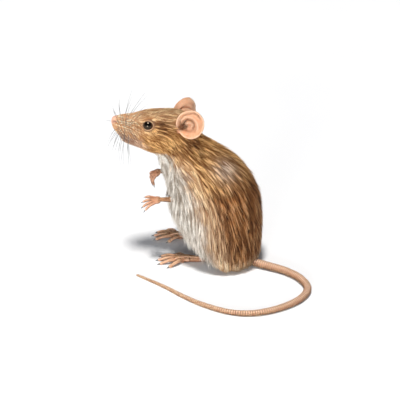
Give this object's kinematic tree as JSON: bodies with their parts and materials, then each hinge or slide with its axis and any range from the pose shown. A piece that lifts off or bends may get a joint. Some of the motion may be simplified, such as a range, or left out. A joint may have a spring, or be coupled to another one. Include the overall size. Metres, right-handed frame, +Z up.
{
  "type": "field mouse (long-tailed field mouse or wood mouse, Apodemus sylvaticus), still life-size museum model",
  "caption": "Life-size field mouse sitting up on its haunches, forepaws held at its breast, with its long tail curved round on the floor beside it.",
  "frame": {"origin": "on the floor, on the flat under the seat", "axes": "+Z up from the floor, -Y the way the mouse's breast faces, +X its left side; the head is turned a little to its left"},
  "size_m": [0.0643, 0.071, 0.0602],
  "materials": {
    "coat": "soft short fur, ginger brown above and white below",
    "ear_skin": "thin bare skin, pink tan",
    "paw_skin": "bare skin, pink",
    "tail_skin": "finely ringed skin, pink brown",
    "eye": "wet black",
    "claw": "pale horn with a grey tip",
    "whisker": "fine stiff hair"
  },
  "bodies": {
    "root": {"head": "coat", "neck": "coat", "trunk": "coat", "thigh_left": "coat", "thigh_right": "coat", "foreleg_left": "coat", "foreleg_right": "coat", "forepaw_left": "paw_skin", "forepaw_right": "paw_skin", "hind_foot_left": "paw_skin", "hind_foot_right": "paw_skin", "ear_left": "ear_skin", "ear_right": "ear_skin", "eye_left": "eye", "eye_right": "eye", "tail_1": "tail_skin", "tail_2": "tail_skin", "tail_3": "tail_skin", "tail_4": "tail_skin"}
  },
  "joints": []
}
